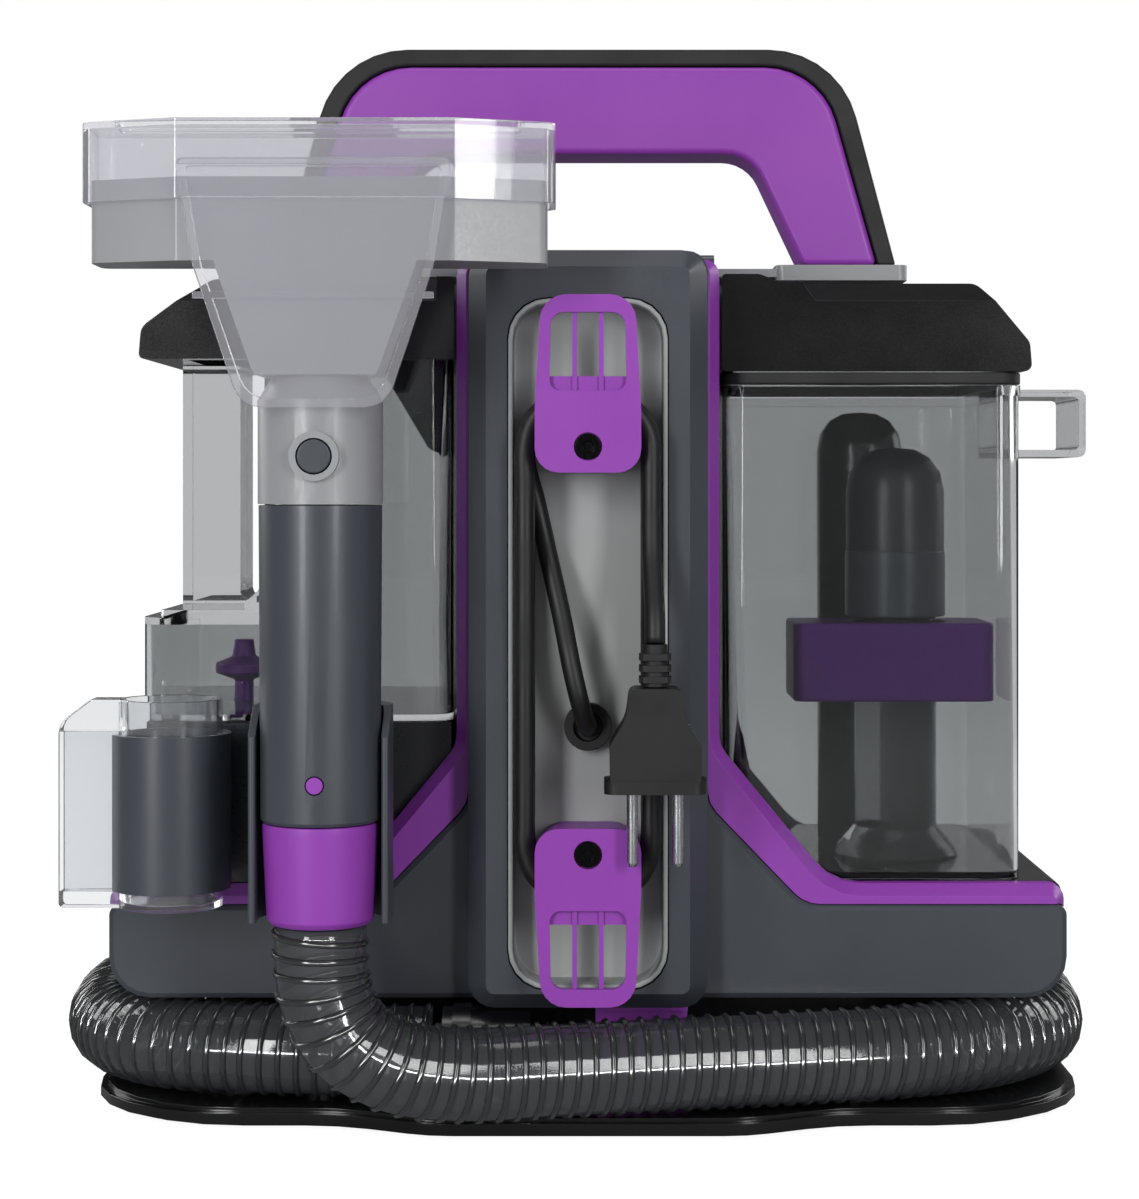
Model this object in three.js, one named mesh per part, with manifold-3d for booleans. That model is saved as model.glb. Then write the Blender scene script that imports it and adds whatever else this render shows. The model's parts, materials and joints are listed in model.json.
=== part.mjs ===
// Portable carpet cleaner: a T-shaped body on a tray, a clean-water tank and a
// dirty-water tank that slide out sideways, a suction wand in its cradle, a small
// hand tool, a suction hose wound round the plinth and a mains cord on two hooks.
// Millimetres, +Z up, the wand side faces -Y.
import * as THREE from "three";
import { mergeVertices } from "three/addons/utils/BufferGeometryUtils.js";
import Module from "manifold-3d";

const wasm = await Module();
wasm.setup();

// ---------------------------------------------------------------- driving sizes
const GAP = 0.4; // left between pieces that touch
const WALL = 2.6; // moulded casings
const CLEAR_WALL = 2.4; // tanks

const ORIGIN = { x: 2.95, y: -31.1 }; // middle of the bounding box, seen from the tower axis

const TRAY = { halfX: 196, front: -115, rear: 115, nose: -131, z0: 2, z1: 9, corner: 62 };
const FOOT = { x: 142, y: 78, r: 11, top: 3.4 };
const PLINTH = { halfX: 150, front: -76, rear: 70, z1: 45.9, corner: 52 };

const BODY = { halfX: 187, z0: 46.3, deck: 90, shoulder: 82.5, face: 90, split: 76 };
const TOWER = { slate: 46.4, trim: 51.6, frame: 50, top: 337, front: 110 };
const SHELL_BACK = 79.3; // where a shell ends and the trim's flange starts
const TRIM_FACE = 89.2;

const PANEL = { halfX: 30.6, z0: 53.4, z1: 317.8, corner: 15.5, floor: 95 };
const HOOK = { post: 20, tip: 17.6, front: 128, back: 124, upperPivot: 260.8, lowerPivot: 107.5 };
const CORD = { r: 3.85, gland: 153, halfX: 24, low: 90, high: 280 };
const PLUG = { x: 25, y: -134.5, flange: 132, shoulder: 152, top: 171, relief: 187 };

const HOSE = { r: 18.3, z: 27.6 };
const WAND = { x: -98, y: -150, r: 22, collar: 19.7, z0: 86, tube: 123, top: 239, neck: 277 };
const HEAD = { halfX: 86, y0: -22, y1: 20, z0: 327, z1: 357, top: 378 };
const TOOL = { x: -159, y: -112, r: 19.6, z0: 86, z1: 165, mouth: -41.7 };

const DIRTY = { x0: 53.6, x1: 172, halfY: 75, z0: 90.5, rim: 286 };
const FINGER = { x0: 168, x1: 206.6, halfY: 26, z0: 258, z1: 286, wall: 3 };
const CLEAN = { x0: -177, x1: -53.6, halfY: 75, z0: 153, rim: 296 };
const PEDESTAL = { x0: -177, x1: -53.6, halfY: 82, z1: 152.6 };
const HANDLE = { halfY: 17, foot: 338.4, top: 429, under: 385, grip: 7 };

// ---------------------------------------------------------------- materials
const finish = (color, roughness, metalness = 0, extra = {}) =>
  new THREE.MeshStandardMaterial({ color, roughness, metalness, ...extra });
const slate = finish(0x444950, 0.45);
const purple = finish(0x8c3fa3, 0.4);
const black = finish(0x0d0e10, 0.25);
const rubber = finish(0x1a1a1b, 0.8);
const panelGrey = finish(0x97999a, 0.5);
const nozzleGrey = finish(0xa4a4a8, 0.4);
const cordBlack = finish(0x2a2a2a, 0.6);
const metal = finish(0xb8bcc0, 0.3, 1);
const smoked = finish(0x7a7d80, 0.08, 0, { transparent: true, opacity: 0.4 });
const hoseGrey = finish(0x55585a, 0.3);

// ---------------------------------------------------------------- solids
// A closed geometry as a solid. A lathe winds its faces by its profile's direction,
// so one that comes out inside out is turned round.
function solid(geometry) {
  const bare = new THREE.BufferGeometry();
  const loose = geometry.index ? geometry.toNonIndexed() : geometry;
  bare.setAttribute("position", loose.getAttribute("position"));
  const merged = mergeVertices(bare, 1e-3);
  const build = (triVerts) =>
    new wasm.Manifold(
      new wasm.Mesh({
        numProp: 3,
        vertProperties: merged.attributes.position.array,
        triVerts,
      }),
    );
  const faces = new Uint32Array(merged.index.array);
  const made = build(faces);
  return made.volume() > 0 ? made : build(faces.reverse());
}

function geometryOf(made) {
  const mesh = made.getMesh();
  const geometry = new THREE.BufferGeometry();
  geometry.setAttribute("position", new THREE.BufferAttribute(mesh.vertProperties, 3));
  geometry.setIndex(new THREE.BufferAttribute(mesh.triVerts, 1));
  geometry.computeVertexNormals();
  return geometry;
}

const join = (...parts) => parts.reduce((whole, part) => whole.add(part));
const cut = (from, ...tools) => tools.reduce((left, tool) => left.subtract(tool), from);
const both = (values) => [...values, ...values.map(([x, z, r]) => [-x, z, r]).reverse()];

// A closed outline of corners [x, y, radius], each corner rounded by an arc.
function outline(corners, stepsPerQuarter = 5) {
  const points = [];
  corners.forEach(([x, y, r = 0], i) => {
    const corner = new THREE.Vector2(x, y);
    const to = (j) => {
      const [px, py] = corners.at(j % corners.length);
      return new THREE.Vector2(px, py).sub(corner).normalize();
    };
    const back = to(i - 1);
    const on = to(i + 1);
    const half = Math.acos(THREE.MathUtils.clamp(back.dot(on), -1, 1)) / 2;
    if (r === 0 || half > 1.56) return points.push(corner);
    const centre = back.clone().add(on).normalize().multiplyScalar(r / Math.sin(half)).add(corner);
    const start = back.clone().multiplyScalar(r / Math.tan(half)).add(corner).sub(centre);
    const end = on.clone().multiplyScalar(r / Math.tan(half)).add(corner).sub(centre);
    const sweep = Math.atan2(start.cross(end), start.dot(end));
    const steps = Math.max(1, Math.round((Math.abs(sweep) / (Math.PI / 2)) * stepsPerQuarter));
    for (let k = 0; k <= steps; k++)
      points.push(start.clone().rotateAround(new THREE.Vector2(), (sweep * k) / steps).add(centre));
  });
  return new THREE.Shape(points);
}
const rounded = (x0, x1, y0, y1, r, steps) =>
  outline([[x0, y0, r], [x1, y0, r], [x1, y1, r], [x0, y1, r]], steps);
const disc = (x, y, r, sides = 32) =>
  new THREE.Shape(
    Array.from({ length: sides }, (_, i) => {
      const a = (2 * Math.PI * i) / sides;
      return new THREE.Vector2(x + r * Math.cos(a), y + r * Math.sin(a));
    }),
  );

// An outline extruded up, or drawn in X and Z and extruded along Y, or drawn in Y and Z
// and extruded along X.
const raw = (shape, depth, options = {}) =>
  new THREE.ExtrudeGeometry(shape, { depth, bevelEnabled: false, ...options });
const upwards = (shape, z0, z1) => solid(raw(shape, z1 - z0).translate(0, 0, z0));
const alongY = (shape, y0, y1) =>
  solid(raw(shape, y1 - y0).rotateX(Math.PI / 2).translate(0, y1, 0));
const turnToX = new THREE.Matrix4().set(0, 0, 1, 0, 1, 0, 0, 0, 0, 1, 0, 0, 0, 0, 0, 1);
const alongX = (shape, x0, x1) =>
  solid(raw(shape, x1 - x0).applyMatrix4(turnToX).translate(x0, 0, 0));
const box = (x0, x1, y0, y1, z0, z1) =>
  solid(
    new THREE.BoxGeometry(x1 - x0, y1 - y0, z1 - z0).translate(
      (x0 + x1) / 2,
      (y0 + y1) / 2,
      (z0 + z1) / 2,
    ),
  );
// An outline in X and Z whose front edge, at -Y, is chamfered inwards.
function chamferedFront(shape, y0, y1, size, depth) {
  const options = { bevelEnabled: true, bevelSegments: 1, bevelSize: size };
  Object.assign(options, { bevelThickness: depth, bevelOffset: -size });
  const whole = raw(shape, y1 - y0, options).rotateX(Math.PI / 2).translate(0, y1 + depth, 0);
  return cut(solid(whole), box(-500, 500, y1, y1 + 100, -100, 600));
}
// A profile [radius, z] turned about an upright axis through (x, y).
const turned = (profile, x = 0, y = 0, sides = 32) =>
  solid(
    new THREE.LatheGeometry(
      profile.map(([r, z]) => new THREE.Vector2(r, z)),
      sides,
    )
      .rotateX(Math.PI / 2)
      .translate(x, y, 0),
  );
function tube(points, radius, sides, steps) {
  const path = new THREE.CatmullRomCurve3(points.map((p) => new THREE.Vector3(...p)));
  return new THREE.ExtrudeGeometry(disc(0, 0, radius, sides), { steps, extrudePath: path });
}

function piece(parent, name, made, material, position = [0, 0, 0]) {
  const geometry = made.isBufferGeometry ? made : geometryOf(made);
  const mesh = new THREE.Mesh(geometry, material);
  mesh.name = name;
  mesh.position.set(...position);
  parent.add(mesh);
  return mesh;
}

const machine = new THREE.Group();
machine.position.set(-ORIGIN.x, -ORIGIN.y, 0);
const side = { left: -1, right: 1 };

// ---------------------------------------------------------------- tray, feet, plinth
function baseTray() {
  const t = TRAY;
  const rim = (inset) =>
    outline(
      [
        [-t.halfX + inset, t.front + inset, t.corner],
        [-95, t.front + inset, 60],
        [-60, t.nose + inset, 40],
        [60, t.nose + inset, 40],
        [95, t.front + inset, 60],
        [t.halfX - inset, t.front + inset, t.corner],
        [t.halfX - inset, t.rear - inset, t.corner],
        [-t.halfX + inset, t.rear - inset, t.corner],
      ],
      6,
    );
  const lip = upwards(rim(0), t.z0 + 1.4, t.z1 - 1.6);
  const sole = upwards(rim(3), t.z0, t.z0 + 1.5);
  const well = upwards(rim(2.5), t.z1 - 1.7, t.z1);
  let tray = join(sole, lip, well);
  for (const sx of [-1, 1])
    for (const sy of [-1, 1])
      tray = cut(
        tray,
        upwards(disc(sx * FOOT.x, sy * FOOT.y, FOOT.r + GAP, 24), 0, FOOT.top + GAP),
      );
  return tray;
}
piece(machine, "base_tray", baseTray(), black);
for (const [sideName, sx] of Object.entries(side))
  for (const [endName, sy] of Object.entries({ front: -1, rear: 1 }))
    piece(
      machine,
      `foot_${endName}_${sideName}`,
      turned([[0, 0], [FOOT.r - 1.5, 0], [FOOT.r, 1.2], [FOOT.r, FOOT.top], [0, FOOT.top]], 0, 0, 24),
      rubber,
      [sx * FOOT.x, sy * FOOT.y, 0],
    );

const plinthOutline = (inset) =>
  rounded(-PLINTH.halfX + inset, PLINTH.halfX - inset, PLINTH.front + inset, PLINTH.rear - inset,
    PLINTH.corner - inset);
piece(
  machine,
  "plinth",
  cut(
    upwards(plinthOutline(0), TRAY.z1 + GAP, PLINTH.z1),
    upwards(plinthOutline(WALL), 0, PLINTH.z1 - WALL),
  ),
  black,
);
// The purple tab that backs the hose below the tower, and the black boss beside it.
const saddle = join(
  alongY(rounded(3, 39, 12, PLINTH.z1, 3), -83, PLINTH.front - GAP),
  box(3, 39, -88, -82.9, PLINTH.z1 - 5, PLINTH.z1),
);
piece(machine, "hose_saddle", saddle, purple);

// Elbow in the plinth's front that the hose plugs into.
function hosePort() {
  const spigot = alongX(disc(-97, HOSE.z, 17, 24), -56, -22);
  const flange = alongX(disc(-97, HOSE.z, 18.2, 24), -52, -45);
  const throat = box(-44, -22, -97, PLINTH.front - GAP, 14, 40);
  return join(spigot, flange, throat);
}
piece(machine, "hose_port", hosePort(), black);

// ---------------------------------------------------------------- body
const slateOutline = (grow) =>
  outline(
    both([
      [BODY.halfX + grow, BODY.z0 - grow, 16],
      [BODY.halfX + grow, BODY.shoulder + grow, 4],
      [84.5 + grow / 2, BODY.shoulder + grow, 14],
      [TOWER.slate + grow, 122 + grow / 2, 12],
      [TOWER.slate + grow, TOWER.top + grow, 8],
    ]),
  );
const bayOutline = (grow, foot) =>
  outline(
    both([
      [BODY.halfX + grow, foot, 0],
      [BODY.halfX + grow, BODY.deck + grow, 6],
      [96.2 + grow / 2, BODY.deck + grow, 22],
      [TOWER.trim + grow, 144 + grow / 2, 12],
      [TOWER.trim + grow, TOWER.top - 2 + grow, 6],
    ]),
  );

// One face shell, open at its back, with a raised tower face and an opening in it.
function faceShell(opening) {
  const face = chamferedFront(slateOutline(0), -BODY.face, -SHELL_BACK, 2, 1.5);
  const tower = alongY(rounded(-TOWER.slate, TOWER.slate, BODY.z0, TOWER.top, 8), -98, -SHELL_BACK);
  const raised = chamferedFront(
    rounded(-TOWER.slate + 0.4, TOWER.slate - 0.4, BODY.z0 - 1.5, TOWER.top, 10),
    -TOWER.front,
    -97.9,
    7,
    9,
  );
  const hollow = alongY(slateOutline(-WALL), -BODY.face + WALL, 0);
  const towerHollow = alongY(rounded(-37, 37, 50, 327, 12), -TOWER.front + WALL, 0);
  return cut(join(face, tower, raised), hollow, towerHollow, opening);
}
const cordOpening = alongY(
  rounded(-PANEL.halfX - GAP, PANEL.halfX + GAP, PANEL.z0 - GAP, PANEL.z1 + GAP, PANEL.corner),
  -200,
  0,
);
piece(machine, "front_shell", faceShell(cordOpening), slate);
const GRILLE = { halfX: 29, z0: 190, z1: 300, corner: 10 };
const grilleShape = (grow) =>
  rounded(
    -GRILLE.halfX - grow,
    GRILLE.halfX + grow,
    GRILLE.z0 - grow,
    GRILLE.z1 + grow,
    GRILLE.corner,
  );
const rearShell = piece(
  machine,
  "rear_shell",
  faceShell(alongY(grilleShape(GAP), -200, 0)),
  slate,
);
rearShell.rotation.z = Math.PI;

// The coloured band round a face shell, and the flange behind the shell that carries it.
function trimBand() {
  const band = chamferedFront(bayOutline(0, BODY.shoulder - 12), -TRIM_FACE, -BODY.split - GAP, 4, 7);
  const seat = alongY(slateOutline(0.35), -200, -SHELL_BACK + 0.35);
  const towerWindow = alongY(rounded(-40, 40, 96, 325, 10), -200, 0);
  const sill = box(-180, 180, -200, 0, 40, 74);
  return cut(band, seat, towerWindow, sill);
}
piece(machine, "front_trim", trimBand(), purple);
piece(machine, "rear_trim", trimBand(), purple).rotation.z = Math.PI;

// Bottom plate, side walls, deck and tower of the body, hollow and open at the tower's top.
function centreFrame() {
  const s = BODY.split - GAP / 2;
  const base = alongY(
    outline(both([[BODY.halfX, BODY.z0, 16], [BODY.halfX, BODY.deck, 4]])),
    -s,
    s,
  );
  const tower = upwards(rounded(-TOWER.frame, TOWER.frame, -s, s, 1), BODY.deck - 1, 330);
  const baseHollow = box(-182, 182, -s + WALL, s - WALL, BODY.z0 + WALL, BODY.deck - WALL);
  const inner = TOWER.frame - WALL;
  const towerHollow = box(-inner, inner, -s + WALL, s - WALL, BODY.z0 + WALL, 400);
  return cut(join(base, tower), baseHollow, towerHollow);
}
piece(machine, "centre_frame", centreFrame(), black);

const BUTTON = { x: 30, y: -48, halfX: 12, halfY: 14 };
function topCap() {
  const s = BODY.split - GAP;
  const cap = alongX(
    outline([[-s, 330.4, 0], [s, 330.4, 0], [s, 337.5, 3], [24.5, 338, 0], [24.5, 332.6, 0],
      [-24.5, 332.6, 0], [-24.5, 338, 0], [-s, 337.5, 3]]),
    -TOWER.frame,
    TOWER.frame,
  );
  const well = upwards(
    rounded(
      BUTTON.x - BUTTON.halfX - GAP,
      BUTTON.x + BUTTON.halfX + GAP,
      BUTTON.y - BUTTON.halfY - GAP,
      BUTTON.y + BUTTON.halfY + GAP,
      5,
    ),
    332.6,
    360,
  );
  return cut(cap, well);
}
piece(machine, "top_cap", topCap(), slate);
piece(
  machine,
  "power_button",
  upwards(rounded(-BUTTON.halfX, BUTTON.halfX, -BUTTON.halfY, BUTTON.halfY, 5), 0, 4),
  slate,
  [BUTTON.x, BUTTON.y, 336],
);
piece(
  machine,
  "exhaust_grille",
  cut(
    alongY(grilleShape(0), TOWER.front - 6, TOWER.front - 1),
    ...Array.from({ length: 9 }, (_, i) =>
      alongY(rounded(-22, 22, 200.5 + 10.5 * i, 205.5 + 10.5 * i, 2.4, 2), 0, 200),
    ),
  ),
  black,
);

// ---------------------------------------------------------------- motor, fan, pump
piece(
  machine,
  "suction_motor",
  turned([[0, 49.3], [24, 49.3], [24, 118], [40, 124], [40, 196], [32, 204], [7, 206], [7, 212],
    [0, 212]], 0, 0, 20),
  metal,
);
function fan() {
  const disk = turned([[0, 0], [38, 0], [38, 2], [9, 2], [9, 16], [0, 16]], 0, 0, 20);
  const blades = Array.from({ length: 9 }, (_, i) => {
    const blade = new THREE.BoxGeometry(30, 1.6, 12).translate(22, 0, 7.9);
    return solid(blade.rotateZ((2 * Math.PI * i) / 9));
  });
  return join(disk, ...blades);
}
piece(machine, "fan_impeller", fan(), metal, [0, 0, 212.4]);

const ped = PEDESTAL;
function pumpPedestal() {
  const block = upwards(rounded(ped.x0, ped.x1, -ped.halfY, ped.halfY, 9), BODY.deck + GAP, ped.z1);
  const hollow = box(ped.x0 + 4, ped.x1 - 4, -72, 72, 0, ped.z1 - 4);
  const recess = box(-131, -117, -ped.halfY - 1, -ped.halfY + 1.2, 98, 136);
  const nipple = turned([[0, 140], [5, 140], [5, 141], [0, 141]], -146, 0, 16);
  // Room for the trim's diagonal, beside the tower.
  const trimRoom = [-1, 1].map((sy) => box(-120, -40, sy > 0 ? 75.4 : -90, sy > 0 ? 90 : -75.4, 80, 340));
  return cut(join(block, nipple), hollow, recess, ...trimRoom);
}
piece(machine, "pump_pedestal", pumpPedestal(), black);
piece(
  machine,
  "water_pump",
  join(
    alongX(disc(-10, 118, 20, 24), -160, -100),
    alongX(disc(-10, 118, 14, 24), -101, -78),
    box(-150, -90, -28, 8, BODY.deck + GAP, 110),
  ),
  metal,
);

// ---------------------------------------------------------------- carrying handle
const arch = (side0, shoulder, top, radius, under) =>
  outline(
    [
      [side0, HANDLE.foot, 0],
      [shoulder, top, radius],
      [-shoulder, top, radius],
      [-side0, HANDLE.foot, 0],
      ...under.map(([x, z, r]) => [-x, z, r]),
      ...under.toReversed(),
    ],
    8,
  );
const palm = [[90, HANDLE.foot, 0], [68, HANDLE.under, 17]];
piece(
  machine,
  "carry_handle",
  alongY(arch(121, 97.5, HANDLE.top - HANDLE.grip - GAP, 31, palm), -HANDLE.halfY, HANDLE.halfY),
  purple,
);
const gripUnder = [[121.5, HANDLE.foot, 0], [97.9, HANDLE.top - HANDLE.grip, 31]];
piece(
  machine,
  "handle_grip",
  alongY(arch(129, 105, HANDLE.top, 38, gripUnder), -HANDLE.halfY + 1, HANDLE.halfY - 1),
  rubber,
);
const bridge = join(
  box(-79, 79, -22, 22, 333, 336.5),
  ...[-1, 1].map((s) =>
    upwards(rounded(Math.min(s * 78, s * 133), Math.max(s * 78, s * 133), -24, 24, 4), 331.5, 338),
  ),
);
piece(machine, "handle_bridge", bridge, nozzleGrey);

// ---------------------------------------------------------------- cord panel and hooks
const p = PANEL;
piece(
  machine,
  "cord_panel",
  cut(
    alongY(rounded(-p.halfX, p.halfX, p.z0, p.z1, p.corner), -TOWER.front, -p.floor + 3),
    alongY(rounded(-p.halfX + 2, p.halfX - 2, p.z0 + 2, p.z1 - 2, p.corner - 2), -200, -p.floor),
  ),
  panelGrey,
);
const screwHole = (z) => alongY(disc(0, z, 5.4, 20), -HOOK.front - 1, -HOOK.front + 2.4);
// One hook's face plate: wide over its post, narrower at its tip, with a ribbed window.
function hookPlate(pivot, up) {
  const z = (d) => pivot + up * d;
  const shape = outline([[-HOOK.post, z(-9.8), 9], [HOOK.post, z(-9.8), 9], [HOOK.post, z(14), 20],
    [HOOK.tip, z(57.2), 10], [-HOOK.tip, z(57.2), 10], [-HOOK.post, z(14), 20]]);
  const slotShape = outline([[-14.5, z(21), 4], [14.5, z(21), 4], [14, z(50.5), 5],
    [-14, z(50.5), 5]]);
  const plate = alongY(shape, -HOOK.front, -HOOK.back);
  const opened = cut(plate, alongY(slotShape, -200, 0), screwHole(pivot));
  const ribs = [-5, 5].map((x) => box(x - 0.9, x + 0.9, -126.6, -HOOK.back, ...order(z(20), z(51))));
  const ledge = box(-14.6, 14.6, -125.6, -HOOK.back, ...order(z(20), z(26.5)));
  return join(opened, ...ribs, ledge);
}
const order = (a, b) => [Math.min(a, b), Math.max(a, b)];
const post = (z0, z1, front) => alongY(rounded(-19.6, 19.6, z0, z1, 10.5), -front, -p.floor - GAP);
piece(machine, "hook_post_upper", post(251, 275.8, HOOK.back - GAP), purple);
piece(machine, "cord_hook_upper", hookPlate(HOOK.upperPivot, 1), purple);
piece(
  machine,
  "cord_hook_lower",
  join(hookPlate(HOOK.lowerPivot, -1), post(94.4, 116, HOOK.back + 1)),
  purple,
);
const screw = cut(
  alongY(disc(0, 0, 4.9, 20), -HOOK.front + 0.6, -HOOK.front + 2),
  alongY(disc(0, 0, 2.4, 6), -200, -HOOK.front + 1.4),
);
piece(machine, "hook_screw_upper", screw, metal, [0, 0, HOOK.upperPivot]);
piece(machine, "hook_screw_lower", screw, metal, [0, 0, HOOK.lowerPivot]);

// ---------------------------------------------------------------- mains cord and plug
const glandRing = cut(
  alongY(disc(0, CORD.gland, 9.2, 28), -101, -p.floor - GAP),
  alongY(disc(0, CORD.gland, 5.6, 20), -200, -98),
);
piece(machine, "cord_gland", glandRing, rubber);
piece(
  machine,
  "cord_lead",
  tube(
    [[0, -98.4, 153], [0, -103, 153.2], [-1.2, -109, 156.5], [-3.2, -113.5, 164],
      [-6, -114, 176], [-10, -110, 196], [-14, -105, 214], [-16, -103, 226]],
    CORD.r,
    8,
    12,
  ),
  cordBlack,
);
const winding = (inset, corner) =>
  rounded(
    -CORD.halfX - inset,
    CORD.halfX + inset,
    CORD.low - inset,
    CORD.high + inset,
    corner,
    6,
  );
piece(
  machine,
  "cord_winding",
  cut(alongY(winding(4.1, 22), -123.2, -95.5), alongY(winding(-3.9, 10), -200, 0)),
  cordBlack,
);
piece(
  machine,
  "cord_tail",
  tube([[24.5, -127.6, 226], [24.7, -131.5, 212], [PLUG.x, -134, 199], [PLUG.x, PLUG.y, 187.6]],
    CORD.r, 10, 8),
  cordBlack,
);

function strainRelief() {
  const core = turned([[0, PLUG.top + GAP], [5, PLUG.top + GAP], [4.6, PLUG.relief], [0, PLUG.relief]],
    PLUG.x, PLUG.y, 16);
  const rings = [172.8, 177, 181.2].map((z) =>
    upwards(rounded(PLUG.x - 6, PLUG.x + 6, PLUG.y - 5.6, PLUG.y + 5.6, 3, 3), z, z + 2.4),
  );
  return join(core, ...rings);
}
piece(machine, "plug_strain_relief", strainRelief(), rubber);
function plugBody() {
  const shape = outline([[-16.8, PLUG.flange + 4, 2], [-17, PLUG.shoulder - 2, 6], [-11, 160, 6],
    [-9.5, PLUG.top, 3], [9.5, PLUG.top, 3], [11, 160, 6], [17, PLUG.shoulder - 2, 6],
    [16.8, PLUG.flange + 4, 2]]);
  const grip = alongY(shape, -10.2, 10.2);
  const flange = upwards(rounded(-19, 19, -10.4, 10.4, 5), PLUG.flange, PLUG.flange + 5);
  return join(grip, flange).translate([PLUG.x, PLUG.y, 0]);
}
piece(machine, "plug_body", plugBody(), cordBlack);
for (const [name, sx] of Object.entries(side))
  piece(
    machine,
    `plug_pin_${name}`,
    turned([[0, 104], [1.3, 104], [2.1, 105.4], [2.1, PLUG.flange - GAP], [0, PLUG.flange - GAP]],
      0, 0, 16),
    metal,
    [PLUG.x + sx * 8.5, PLUG.y, 0],
  );

// ---------------------------------------------------------------- suction hose
// Out of the port, once round the plinth, then forwards and up into the wand.
const low = HOSE.z;
const hoseRoute = [
  [-60, -97, low], [-90, -97, low], [-130, -93, low], [-168, -80, low], [-190, -52, low],
  [-197.5, -15, low], [-196, 22, low], [-182, 58, low], [-152, 82, low], [-110, 91, low],
  [-50, 92, low], [50, 92, low], [110, 91, low], [148, 82, low], [174, 58, low],
  [186, 22, low], [187, -18, low], [180, -52, low], [158, -80, low], [124, -98, low],
  [80, -110, low], [30, -121, low], [-15, -132, low], [-48, -140, low + 0.5], [-72, -146, 33],
  [-89, -149, 44], [-96.5, -150, 60], [-98, -150, 74], [-98, -150, 85],
];
piece(machine, "suction_hose", tube(hoseRoute, HOSE.r, 10, 70), hoseGrey);

// ---------------------------------------------------------------- wand and its cradle
const wand = new THREE.Group();
wand.position.set(WAND.x, WAND.y, 0);
machine.add(wand);
const w = WAND;
function wandTube() {
  const barrel = turned([[0, w.tube + GAP], [w.r - 1, w.tube + GAP], [w.r, w.tube + 1.6],
    [w.r + 0.6, w.top - 6], [w.r + 0.6, w.top], [0, w.top]], 0, 0, 40);
  const triggerSlot = box(-7.5, 7.5, 5, 40, 170, 230);
  const buttonWell = alongY(disc(0, 138.5, 3.5, 20), -40, -16.4);
  return cut(barrel, triggerSlot, buttonWell);
}
piece(wand, "wand_tube", wandTube(), slate);
piece(
  wand,
  "wand_collar",
  turned([[0, w.z0], [w.collar - 1.6, w.z0], [w.collar, w.z0 + 2], [w.r - 0.8, w.tube - 3],
    [w.r - 0.8, w.tube], [0, w.tube]], 0, 0, 40),
  purple,
);
piece(wand, "wand_button", alongY(disc(0, 138.5, 3.1, 20), -22.4, -18.4), purple);
// The spray trigger, on the side that faces the machine, hung from a pin at its top.
const triggerShape = outline([[15.8, 223, 2], [15.8, 176, 2], [21, 176, 3], [29, 181, 3],
  [25, 205, 14], [21.5, 223, 2]]);
piece(wand, "wand_trigger", alongX(triggerShape, -6.8, 6.8), purple);

function wandCradle() {
  const prongs = outline([[-25.6, -9, 1.2], [-22.9, -9, 1.2], [-22.9, 13, 10], [22.9, 13, 10],
    [22.9, -9, 1.2], [25.6, -9, 1.2], [25.6, 30, 16], [-25.6, 30, 16]], 6);
  const seat = upwards(disc(0, 0, w.r + 0.9, 40), 60, 200);
  const cradle = cut(upwards(prongs, w.z0 + 1, 165), seat);
  const lower = join(cradle, box(-14, 4, 24, 67.6, 96, 150));
  const slope = solid(new THREE.BoxGeometry(80, 40, 40).rotateX(0.6).translate(0, -16, 174));
  return cut(lower, slope, upwards(disc(0, 0, w.r + 0.9, 40), 60, 200));
}
piece(wand, "wand_cradle", wandCradle(), slate);

// ---------------------------------------------------------------- nozzle
const h = HEAD;
const plan = (inset) =>
  outline(
    [
      [-h.halfX + inset, h.y1 - inset, 4],
      [-h.halfX + inset, h.y0 + 13 + inset / 2, 4],
      [-h.halfX + 36, h.y0 + inset, 3],
      [h.halfX - 36, h.y0 + inset, 3],
      [h.halfX - inset, h.y0 + 13 + inset / 2, 4],
      [h.halfX - inset, h.y1 - inset, 4],
    ],
    3,
  );
// Front outline of the clear cover: a trapezoid that narrows to a rounded lower end.
const apron = (inset) =>
  outline(
    both([
      [49 - inset, h.z1 + 6 - inset, 2],
      [43 - inset, h.z0 - 2, 10],
      [26 - inset * 0.8, 274 + inset, 11],
    ]).toReversed(),
  );
function nozzleBody() {
  const block = upwards(plan(3), h.z0, h.z1);
  const neck = turned([[0, w.top + GAP], [22.9, w.top + GAP], [22.9, w.neck], [17.5, 286],
    [17.5, h.z0 + 4], [0, h.z0 + 4]], 0, 0, 40);
  const funnel = cut(alongY(apron(7), -19, 14), box(-100, 100, -100, 100, 200, 286));
  const mouth = upwards(rounded(-72, 72, -8, 6, 4), h.z1 - 14, h.z1 + 1);
  const buttonWell = alongY(disc(0, 256.6, 6.6, 24), -40, -16.4);
  const ring = cut(
    alongY(disc(0, 256.6, 9, 28), -24.4, -18),
    alongY(disc(0, 256.6, 6.6, 24), -40, 0),
  );
  return cut(join(cut(join(block, neck), buttonWell), funnel, ring), mouth);
}
const nozzle = new THREE.Group();
nozzle.name = "nozzle";
wand.add(nozzle);
piece(nozzle, "nozzle_body", nozzleBody(), nozzleGrey);
piece(nozzle, "nozzle_button", alongY(disc(0, 256.6, 6.1, 24), -24.8, -19), slate);
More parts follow.
